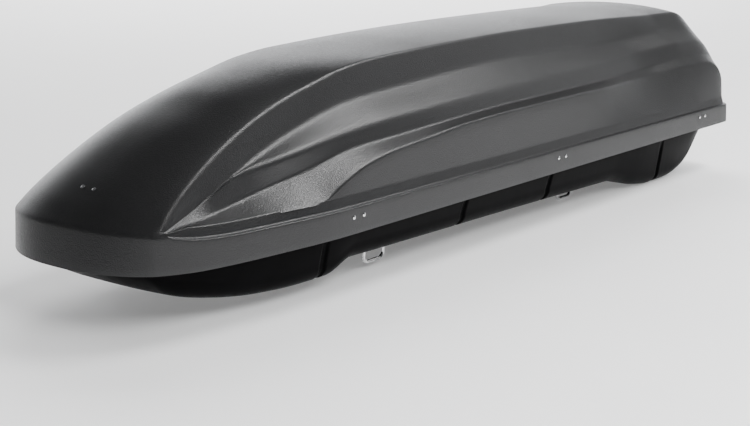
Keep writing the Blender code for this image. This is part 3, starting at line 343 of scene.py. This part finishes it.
def tail_fade(x, y, end):
    """1 on the roof, 0 at the tail's ledge, along a rounded profile."""
    start = TAIL_START - TAIL_START_SWEEP * (y / TAIL_START_HALF) ** 2
    if x <= start:
        return 1.0
    s = min(1.0, (x - start) / (end - start))
    return (1.0 - s ** TAIL_DROP) ** (1.0 / TAIL_DROP)


def side_point(t, lines, ends, k):
    width, height = lines[k]
    end_x, end_y = ends[k]
    x = CORNER[0] + (end_x - CORNER[0]) * t
    blend = max(0.0, (x - SIDE_BLEND_X) / (end_x - SIDE_BLEND_X))
    on_ledge = k == len(lines) - 1
    y = width(x) if on_ledge else width(min(x, SIDE_BLEND_X))
    y += (end_y - width(end_x if on_ledge else SIDE_BLEND_X)) * blend
    base_z = ledge_top(x)
    return Vector((x, y, base_z + (height(x) - base_z) * tail_fade(x, y, end_x)))


def hood_point(t, lines, ends, h):
    """Point of the hood at row position t and a fraction h of the way out to the ridge."""
    ridge = side_point(t, lines, ends, 0)
    x = NOSE_EDGE_X + (TAIL_EDGE_X - NOSE_EDGE_X) * t
    base_z = ledge_top(x)
    z = base_z + (crest(x) - base_z) * tail_fade(x, 0.0, TAIL_EDGE_X)
    return Vector((x + (ridge.x - x) * h ** NOSE_CURVE, ridge.y * h, z + (ridge.z - z) * h ** HOOD_ARCH))


def lid_row(t, lines, ends):
    """Half a cross-section, from the centre line down to the ledge, its feature lines rounded."""
    row = [hood_point(t, lines, ends, i / HOOD_COLUMNS) for i in range(HOOD_COLUMNS)]
    points = [row[-1]] + [side_point(t, lines, ends, k) for k in range(len(lines))]
    for k, (radius, flats) in enumerate(zip(LINE_RADII, FLATS), 1):
        arc = fillet(points[k - 1], points[k], points[k + 1], radius, ARC_STEPS)
        if k > 1:
            row += between(row[-1], arc[0], flats)
        row += arc
    return row + between(row[-1], points[-1], FLATS[-1]) + [points[-1]]


def row_positions():
    spots = []
    for i in range(LID_ROWS + 1):
        u = i / LID_ROWS
        spots.append(u - ROW_EASE * sin(2 * pi * u) / (2 * pi))
    return [0.0] + [t for t in spots if FIRST_ROW < t < LAST_ROW] + [1.0]


def pull_back(row, start):
    """Gathers a row's last points at the place where the edge's arc starts."""
    edge = row[-1].copy()
    reach = (start - edge).length
    for k in range(len(row) - 1, -1, -1):
        if (row[k] - edge).length > reach + SAME_PLACE:
            break
        row[k] = start.copy()


def lid_outline(rows):
    """(edge point, inner neighbour, is it on the nose) around half of the lid's upper edge."""
    corner = HOOD_COLUMNS
    outline = [(rows[0][j].copy(), rows[1][j].copy(), True) for j in range(corner + 1)]
    for row in rows[1:]:
        inner = next(p for p in reversed(row) if (p - row[-1]).length > NEXT_INWARD)
        outline.append((row[-1].copy(), inner.copy(), False))
    for j in range(len(rows[-1]) - 2, -1, -1):
        if (rows[-1][j] - outline[-1][0]).length > MERGE_STEP:
            outline.append((rows[-1][j].copy(), rows[-2][j].copy(), False))
    return outline


def channel_point(upper, edge, normal):
    """The deepest point of the hollow between the ledge's upper edge and the flange."""
    across = edge - upper
    if across.length < NO_LEDGE:
        return (upper + edge) / 2
    inward = (normal * across.z - Vector((0, 0, across.xy.length))) / across.length
    return upper.lerp(edge, CHANNEL_PLACE) + inward * CHANNEL_DEPTH * ledge_share(upper.x)


def edge_profile(inner, edge, top, foot, normal):
    """From the lid's side over its edge, through the ledge's hollow, down to the flange's foot."""
    channel = channel_point(edge, top, normal)
    over = fillet(inner, edge, channel, LEDGE_RADIUS, ARC_STEPS)
    over += fillet(edge, channel, top, CHANNEL_RADIUS, ARC_STEPS)
    return over + fillet(channel, top, foot, FLANGE_RADIUS, ARC_STEPS)


def flange_strip(outline):
    """Rows of points from the lid's upper edge, over the ledge and down the flange."""
    loop = [edge for edge, _, _ in outline]
    strip = []
    for i, (edge, inner, on_nose) in enumerate(outline):
        normal = outward(loop, i)
        top = edge.copy() if on_nose else edge + normal * ledge_width(edge.x)
        top.z = edge.z if on_nose else flange_top(edge.x)
        middle = max(0.0, 1 - (edge.y / CORNER[1]) ** 2) if on_nose else 0.0
        foot = top + normal * (FLANGE_DRAFT + NOSE_DRAFT * middle)
        foot.z = EDGE_Z
        single = fillet(inner, edge, foot, NOSE_RADIUS, NOSE_STEPS)
        double = edge_profile(inner, edge, top, foot, normal)
        share = min(1.0, (top - edge).length / FULL_PROFILE)
        share = share * share * (3 - 2 * share)
        row = [a.lerp(b, share) for a, b in zip(single, double)]
        row += between(row[-1], foot, FLANGE_FLATS) + [foot]
        if edge.y == 0.0:
            row = [Vector((p.x, 0.0, p.z)) for p in row]
        strip.append(row)
    return strip


def make_lid():
    lines = side_lines()
    ends = tail_ends()
    rows = [lid_row(t, lines, ends) for t in row_positions()]
    strip = flange_strip(lid_outline(rows))
    starts = [row[0] for row in strip]
    for j in range(len(rows[0])):
        rows[0][j] = starts[min(j, HOOD_COLUMNS)].copy()
    for row, start in zip(rows[1:], starts[HOOD_COLUMNS + 1:]):
        pull_back(row, start)
    bm = bmesh.new()
    add_grid(bm, [mirrored(row) for row in rows])
    for sign in (1, -1):
        add_grid(bm, [[Vector((p.x, sign * p.y, p.z)) for p in row] for row in strip])
    return shell("lid_skin", bm, LID_WALL, faces_up=True)


# ---- tub -----------------------------------------------------------------------------------------
def floor_fall(x):
    return SADDLE_FALL * (min(max(x, SADDLE_X[0]), BASE_TAIL[0]) - SADDLE_X[0])


def floor_height(x):
    share = (SKIN_TOP - floor_profile(x)) / SKIN_TOP
    return floor_profile(x) - floor_fall(x) * min(1.0, share)


def groove_depth(x):
    """Depth of the upright grooves pressed into the side walls, with rounded edges."""
    depth = 0.0
    for groove in GROOVES:
        s = min(1.0, max(0.0, (GROOVE_HALF + GROOVE_SIDE - abs(x - groove)) / GROOVE_SIDE))
        depth = max(depth, GROOVE_DEPTH * s * s * (3 - 2 * s))
    return depth


def base_rows():
    """Stations along the tub, closer together at its ends and at the grooves."""
    spots = list(np.arange(BASE_NOSE[0] + NOSE_GAP, BASE_TAIL[0] - TAIL_GAP, BASE_SPACING))
    spots = [x for x in spots if min(abs(x - g) for g in GROOVES) > GROOVE_CLEAR]
    for groove in GROOVES:
        for shift in GROOVE_STATIONS:
            spots += [groove + shift, groove - shift]
    spots += [BASE_NOSE[0], BASE_NOSE[0] + END_SPACING, BASE_TAIL[0] - END_SPACING, BASE_TAIL[0]]
    return sorted(set(round(float(x), 5) for x in spots))


def end_shift(x, y, wide):
    nose = max(0.0, 1 - (x - BASE_NOSE[0]) / END_REACH) ** 2
    tail = max(0.0, 1 - (BASE_TAIL[0] - x) / END_REACH) ** 2
    out = min(1.0, y / wide) ** END_ROUNDNESS
    return ((BASE_NOSE[1] - BASE_NOSE[0]) * nose + (BASE_TAIL[1] - BASE_TAIL[0]) * tail) * out


def base_row(x):
    """Half a cross-section, from the centre line up to the rim's lip."""
    rim = rim_width(x + end_shift(x, 1.0, 1.0))
    floor = max(floor_height(x), cad_box[0].z - LIFT)
    deep = SKIN_TOP - floor
    low = rim - WALL_DRAFT * min(1.0, deep / FULL_DRAFT_DEPTH) - groove_depth(x)
    radius = min(FLOOR_RADIUS, deep * FILLET_SHARE)
    points = [(low * share, floor) for share in FLOOR_STATIONS]
    points.append((low - radius - FLOOR_MARGIN, floor))
    for angle in range(0, 91, 10):
        a = radians(angle)
        points.append((low - radius * (1 - sin(a)), floor + radius * (1 - cos(a))))
    wide = low + (rim - groove_depth(x) * GROOVE_ABOVE - low) * WALL_BEND[0]
    high = floor + radius + (deep - radius) * WALL_BEND[1]
    y, z = points[-1]
    points += [(y + (wide - y) * s, z + (high - z) * s) for s in WALL_STATIONS]
    points += [(wide, high), (rim, SKIN_TOP - min(SHOULDER[0], deep * SHOULDER[1]))]
    return [Vector((x + end_shift(x, y, rim), y, z)) for y, z in points]


def rim_strip(rows):
    edge = [p.copy() for p in rows[0]] + [row[-1].copy() for row in rows[1:]]
    edge += [p.copy() for p in reversed(rows[-1][:-1])]
    kept = [edge[0]]
    for point in edge[1:]:
        if (point.xy - kept[-1].xy).length > MERGE_STEP:
            kept.append(point)
    strip = []
    for i, point in enumerate(kept):
        raised = Vector((point.x, point.y, SKIN_TOP))
        tip = raised + outward(kept, i) * RIM_LIP
        row = [point] + fillet(point, raised, tip, LIP_RADIUS, ARC_STEPS) + between(raised, tip, 1) + [tip]
        if point.y == 0.0:
            row = [Vector((p.x, 0.0, p.z)) for p in row]
        strip.append(row)
    return strip


def make_base():
    bm = bmesh.new()
    rows = [base_row(x) for x in base_rows()]
    strip = rim_strip(rows)
    add_grid(bm, [mirrored(row) for row in rows])
    for sign in (1, -1):
        add_grid(bm, [[Vector((p.x, sign * p.y, p.z)) for p in row] for row in strip])
    return shell("tub_skin", bm, BASE_WALL, faces_up=False)


# ---- CAD nodes with softened edges ---------------------------------------------------------------
BEVELS = {"knob": 0.0016, "lock_housing": 0.0012, "key": 0.0003, "strap_buckle": 0.0008,
          "clamp_plate": 0.0006, "lock_bar_guide": 0.0008, "strut_tube": 0.0007,
          "hinge_rivets": 0.0005, "nose_rivets": 0.0005}
OTHER_BEVEL = 0.0003
FLAT_ANGLE = 1.0                              # faces within this many degrees are one face
BEVEL_ANGLE = 38
SOFT_ANGLE = 40


def soft_copy(node):
    """A CAD node's own shape with small radii on its edges."""
    bm = bmesh.new()
    bm.from_mesh(frame["nodes"][node].data)
    bmesh.ops.remove_doubles(bm, verts=bm.verts, dist=SAME_PLACE)
    bmesh.ops.dissolve_limit(bm, angle_limit=radians(FLAT_ANGLE), verts=bm.verts, edges=bm.edges)
    mesh = bpy.data.meshes.new(node + "_soft")
    bm.to_mesh(mesh)
    bm.free()
    piece = bpy.data.objects.new(node + "_soft", mesh)
    bpy.context.scene.collection.objects.link(piece)
    width = next((w for stem, w in BEVELS.items() if node.startswith(stem)), OTHER_BEVEL)
    step = piece.modifiers.new("Bevel", "BEVEL")
    step.width = width
    step.segments = 2
    step.limit_method = "ANGLE"
    step.angle_limit = radians(BEVEL_ANGLE)
    return finished(piece, SOFT_ANGLE)


# ---- materials -----------------------------------------------------------------------------------
NOISE_SPREAD = (0.3, 0.7)                     # nearly all of a noise's values lie here
CHARCOAL = ((0.0068, 0.0068, 0.0072), (0.0130, 0.0130, 0.0136))
CHARCOAL_AGED = (0.0100, 0.0101, 0.0104)
CHARCOAL_RUBBED = (0.032, 0.032, 0.033)
BLACK = ((0.0015, 0.0015, 0.0016), (0.0031, 0.0031, 0.0034))
# painted top light: a paler black for faces that look up, standing in for light from above
PAINTED_TOP_LIGHT = ((0.0130, 0.0130, 0.0132), (0.0240, 0.0238, 0.0236))
ZINC = ((0.42, 0.43, 0.45), (0.60, 0.61, 0.62))
NICKEL = ((0.66, 0.66, 0.67), (0.80, 0.80, 0.80))
NYLON = ((0.010, 0.010, 0.0105), (0.018, 0.018, 0.0185))
NYLON_RUBBED = (0.045, 0.045, 0.046)
POLYESTER = ((0.010, 0.010, 0.011), (0.034, 0.034, 0.036))
FLOOR_PAINT = ((0.78, 0.78, 0.79), (0.84, 0.84, 0.84))


class Surface:
    """A Principled material that is built up node by node, in the object's own coordinates."""

    def __init__(self, name, **sockets):
        self.material = bpy.data.materials.new(name)
        self.material.use_nodes = True
        self.tree = self.material.node_tree
        self.shader = self.tree.nodes["Principled BSDF"]
        for socket, value in sockets.items():
            self.shader.inputs[socket.replace("_", " ")].default_value = value
        self.place = self.tree.nodes.new("ShaderNodeTexCoord").outputs["Object"]

    def link(self, source, target):
        self.tree.links.new(source, target)
        return source

    def stretched(self, scale):
        node = self.tree.nodes.new("ShaderNodeMapping")
        node.inputs["Scale"].default_value = scale
        self.link(self.place, node.inputs["Vector"])
        return node.outputs["Vector"]

    def noise(self, scale, detail=3.0, roughness=0.55, place=None):
        node = self.tree.nodes.new("ShaderNodeTexNoise")
        node.inputs["Scale"].default_value = scale
        node.inputs["Detail"].default_value = detail
        node.inputs["Roughness"].default_value = roughness
        self.link(place or self.place, node.inputs["Vector"])
        return node.outputs["Fac"]

    def cells(self, scale):
        node = self.tree.nodes.new("ShaderNodeTexVoronoi")
        node.inputs["Scale"].default_value = scale
        self.link(self.place, node.inputs["Vector"])
        return node.outputs["Distance"]

    def bands(self, scale, direction):
        node = self.tree.nodes.new("ShaderNodeTexWave")
        node.bands_direction = direction
        node.inputs["Scale"].default_value = scale
        self.link(self.place, node.inputs["Vector"])
        return node.outputs["Fac"]

    def edges(self):
        return self.tree.nodes.new("ShaderNodeNewGeometry").outputs["Pointiness"]

    def upward(self):
        """How far the surface looks up, which is 1 on a level face."""
        node = self.tree.nodes.new("ShaderNodeSeparateXYZ")
        self.link(self.tree.nodes.new("ShaderNodeTexCoord").outputs["Normal"], node.inputs["Vector"])
        return node.outputs["Z"]

    def range(self, source, low, high, to_low, to_high):
        node = self.tree.nodes.new("ShaderNodeMapRange")
        for socket, value in zip(("From Min", "From Max", "To Min", "To Max"), (low, high, to_low, to_high)):
            node.inputs[socket].default_value = value
        self.link(source, node.inputs["Value"])
        return node.outputs["Result"]

    def sum(self, a, b, operation="ADD"):
        node = self.tree.nodes.new("ShaderNodeMath")
        node.operation = operation
        self.link(a, node.inputs[0])
        self.link(b, node.inputs[1])
        return node.outputs["Value"]

    def blend(self, factor, a, b):
        """A colour between a and b, each a colour or another node's output."""
        node = self.tree.nodes.new("ShaderNodeMix")
        node.data_type = "RGBA"
        self.link(factor, node.inputs["Factor"])
        for socket, colour in ((node.inputs[6], a), (node.inputs[7], b)):
            if isinstance(colour, tuple):
                socket.default_value = (*colour, 1.0)
            else:
                self.link(colour, socket)
        return node.outputs[2]

    def colour(self, source):
        self.link(source, self.shader.inputs["Base Color"])

    def roughness(self, source):
        self.link(source, self.shader.inputs["Roughness"])

    def bump(self, source, strength, distance):
        node = self.tree.nodes.new("ShaderNodeBump")
        node.inputs["Strength"].default_value = strength
        node.inputs["Distance"].default_value = distance
        self.link(source, node.inputs["Height"])
        self.link(node.outputs["Normal"], self.shader.inputs["Normal"])


def lid_abs():
    """Charcoal thermoformed sheet with a fine pebbled grain, paler where its edges have rubbed."""
    s = Surface("charcoal_abs", Specular_IOR_Level=0.50)
    speckle = s.range(s.noise(520, 2.0), 0.35, 0.70, 0.0, 1.0)
    cloud = s.range(s.noise(5, 3.0), *NOISE_SPREAD, 0.0, 1.0)
    fresh = s.blend(speckle, *CHARCOAL)
    aged = s.blend(s.range(cloud, 0.0, 1.0, 0.0, 0.35), fresh, CHARCOAL_AGED)
    s.colour(s.blend(s.range(s.edges(), 0.52, 0.60, 0.0, 0.40), aged, CHARCOAL_RUBBED))
    fine = s.range(s.noise(260, 2.0), *NOISE_SPREAD, 0.30, 0.40)
    s.roughness(s.sum(fine, s.range(cloud, 0.0, 1.0, 0.0, 0.04)))
    pebbles = s.range(s.cells(400), 0.0, 0.8, 0.0, 1.0)
    s.bump(s.sum(pebbles, s.noise(760, 2.0)), 0.40, 0.0007)
    return s.material


def base_abs():
    """Black sheet with faint drawing marks up its walls, paler where it looks up inside the box: painted top
    light.
    """
    s = Surface("black_abs", Specular_IOR_Level=0.02)
    cloud = s.range(s.noise(9, 3.0), *NOISE_SPREAD, 0.0, 1.0)
    clean = s.blend(cloud, *BLACK)
    # painted top light: faces that look up inside the tub are lightened in place of light from above
    painted_top_light = s.blend(s.range(s.noise(45, 4.0), 0.35, 0.65, 0.0, 1.0), *PAINTED_TOP_LIGHT)
    s.colour(s.blend(s.range(s.upward(), 0.05, 0.60, 0.0, 1.0), clean, painted_top_light))
    marks = s.noise(1.0, 2.0, place=s.stretched((70, 70, 5)))
    s.roughness(s.sum(s.range(marks, *NOISE_SPREAD, 0.32, 0.38), s.range(cloud, 0.0, 1.0, 0.0, 0.06)))
    s.bump(s.sum(s.noise(520, 2.0), marks), 0.10, 0.0004)
    return s.material


def zinc_steel():
    """Pressed steel with a dull zinc coat, rolled lengthwise."""
    s = Surface("zinc_plate", Metallic=1.0)
    rolled = s.noise(1.0, 3.0, place=s.stretched((14, 420, 420)))
    spangle = s.cells(120)
    s.colour(s.blend(s.range(spangle, 0.0, 0.8, 0.0, 1.0), *ZINC))
    s.roughness(s.sum(s.range(rolled, *NOISE_SPREAD, 0.26, 0.38), s.range(spangle, 0.0, 0.8, 0.0, 0.08)))
    s.bump(rolled, 0.12, 0.0002)
    return s.material


def bright_steel():
    """Nickel-plated steel with hair-fine scratches."""
    s = Surface("bright_plate", Metallic=1.0)
    scratches = s.noise(1.0, 4.0, place=s.stretched((900, 60, 260)))
    s.colour(s.blend(s.range(s.noise(60), *NOISE_SPREAD, 0.0, 1.0), *NICKEL))
    s.roughness(s.range(scratches, *NOISE_SPREAD, 0.14, 0.30))
    s.bump(scratches, 0.08, 0.0001)
    return s.material


def black_nylon():
    """Moulded nylon with glass fibre, matt and slightly mottled."""
    s = Surface("black_moulding")
    mottle = s.range(s.noise(140, 3.0), *NOISE_SPREAD, 0.0, 1.0)
    rubbed = s.range(s.edges(), 0.53, 0.62, 0.0, 0.5)
    s.colour(s.blend(rubbed, s.blend(mottle, *NYLON), NYLON_RUBBED))
    s.roughness(s.range(s.noise(300), *NOISE_SPREAD, 0.45, 0.60))
    s.bump(s.noise(1100, 2.0), 0.25, 0.0002)
    return s.material


def webbing():
    """Black woven polyester: ribs along the strap with the weft crossing them."""
    s = Surface("woven_strap", Sheen_Weight=0.25, Sheen_Roughness=0.5)
    ribs = s.bands(170, "X")
    weft = s.bands(240, "Y")
    weave = s.sum(ribs, weft, "MULTIPLY")
    s.colour(s.blend(weave, *POLYESTER))
    s.roughness(s.range(weave, 0.0, 1.0, 0.92, 0.74))
    s.bump(weave, 0.8, 0.0006)
    return s.material


def dress(piece, material):
    piece.data.materials.clear()
    piece.data.materials.append(material)


# ---- surroundings --------------------------------------------------------------------------------
CAMERA_AT = (-2.4919, -1.8094, 0.7351)
VIEW_YAW = radians(37.397)
VIEW_PITCH = radians(13.879)
LENS = 68.57
SENSOR_WIDTH = 36.0
BOX_MIDDLE = (0.0, 0.0, 0.18)
# name, direction from its aim, distance, size, power, aim, and whether glossy surfaces mirror it
LIGHTS = [("key", (0.40, -0.42, 0.83), 3.4, (1.6, 0.9), 112, BOX_MIDDLE, True),
          ("ridge_light", (0.41, -0.29, 0.87), 3.4, (1.2, 0.6), 14, BOX_MIDDLE, True),
          ("tail_fill", (0.78, -0.56, 0.29), 3.6, (1.0, 0.5), 4, BOX_MIDDLE, True),
          ("floor_wash", (0.05, -0.35, 1.0), 4.2, (3.2, 3.2), 70, (0.2, -1.7, 0.0), False),
          ("front_wash", (-0.10, -0.45, 1.0), 1.9, (1.3, 1.1), 85, (-1.20, -1.40, -0.1), False),
          ("backdrop_wash", (0.1, 0.1, 1.0), 4.5, (5.0, 5.0), 1000, (4.4, 3.6, 0.0), False)]
HORIZON_GLOW = 4.4
HORIZON_WIDTH = (0.45, 0.95)                  # cosines of the angle from the view's direction
HORIZON_HEIGHT = (0.16, 0.46)                 # sines of the elevation over which the glow ends
SKY_GLOW = 0.10
SKY_TINT = (0.93, 0.94, 0.96, 1.0)
STAGE_RADIUS = 14.0
STAGE_GLOW = 0.22


def make_camera():
    data = bpy.data.cameras.new("camera")
    data.lens = LENS
    data.sensor_width = SENSOR_WIDTH
    camera = bpy.data.objects.new("camera", data)
    bpy.context.scene.collection.objects.link(camera)
    camera.location = CAMERA_AT
    ahead = Vector((cos(VIEW_PITCH) * cos(VIEW_YAW), cos(VIEW_PITCH) * sin(VIEW_YAW), -sin(VIEW_PITCH)))
    camera.rotation_euler = ahead.to_track_quat("-Z", "Y").to_euler()
    bpy.context.scene.camera = camera


def make_light(name, direction, distance, size, power, aim, mirrored):
    data = bpy.data.lights.new(name, "AREA")
    data.shape = "RECTANGLE"
    data.size = size[0]
    data.size_y = size[1]
    data.energy = power
    light = bpy.data.objects.new(name, data)
    bpy.context.scene.collection.objects.link(light)
    light.visible_glossy = mirrored
    light.visible_camera = False
    light.location = Vector(aim) + Vector(direction).normalized() * distance
    light.rotation_euler = (Vector(aim) - light.location).to_track_quat("-Z", "Y").to_euler()


def make_world():
    """A pale studio: a bright horizon behind the object, dim above it and in front of it."""
    world = bpy.data.worlds.new("studio")
    world.use_nodes = True
    bpy.context.scene.world = world
    tree = world.node_tree
    place = tree.nodes.new("ShaderNodeTexCoord").outputs["Generated"]

    def fade(direction, low, high, to_low, to_high):
        dot = tree.nodes.new("ShaderNodeVectorMath")
        dot.operation = "DOT_PRODUCT"
        dot.inputs[1].default_value = direction
        tree.links.new(place, dot.inputs[0])
        ramp = tree.nodes.new("ShaderNodeMapRange")
        ramp.interpolation_type = "SMOOTHSTEP"
        for socket, value in zip(("From Min", "From Max", "To Min", "To Max"), (low, high, to_low, to_high)):
            ramp.inputs[socket].default_value = value
        tree.links.new(dot.outputs["Value"], ramp.inputs["Value"])
        return ramp.outputs["Result"]

    both = tree.nodes.new("ShaderNodeMath")
    both.operation = "MULTIPLY_ADD"
    along = (cos(VIEW_YAW), sin(VIEW_YAW), 0.0)
    tree.links.new(fade(along, *HORIZON_WIDTH, 0.0, HORIZON_GLOW), both.inputs[0])
    tree.links.new(fade((0.0, 0.0, 1.0), *HORIZON_HEIGHT, 1.0, 0.0), both.inputs[1])
    both.inputs[2].default_value = SKY_GLOW
    back = tree.nodes["Background"]
    back.inputs["Color"].default_value = SKY_TINT
    tree.links.new(both.outputs["Value"], back.inputs["Strength"])


def make_floor():
    bm = bmesh.new()
    bmesh.ops.create_circle(bm, cap_ends=True, segments=96, radius=STAGE_RADIUS)
    mesh = bpy.data.meshes.new("studio_floor")
    bm.to_mesh(mesh)
    bm.free()
    floor = bpy.data.objects.new("studio_floor", mesh)
    bpy.context.scene.collection.objects.link(floor)
    floor.location.z = cad_box[0].z
    s = Surface("pale_floor", Emission_Color=(1.0, 1.0, 1.0, 1.0), Emission_Strength=STAGE_GLOW)
    s.colour(s.blend(s.noise(2.5, 3.0), *FLOOR_PAINT))
    s.roughness(s.range(s.noise(8), *NOISE_SPREAD, 0.5, 0.6))
    dress(floor, s.material)


# ---- the whole scene -----------------------------------------------------------------------------
def main():
    make_camera()
    make_world()
    for light in LIGHTS:
        make_light(*light)
    make_floor()
    looks = {"lid_abs": lid_abs(), "base_abs": base_abs(), "zinc_steel": zinc_steel(),
             "bright_steel": bright_steel(), "black_nylon": black_nylon(), "webbing": webbing()}

    skins = {"lid_shell": finished(make_lid()), "base_shell": finished(make_base())}
    for node in sorted(frame["nodes"]):
        piece = skins.get(node) or soft_copy(node)
        dress(piece, looks[node_slot[node]])
        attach(piece, node_body[node])
        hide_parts(node)


main()
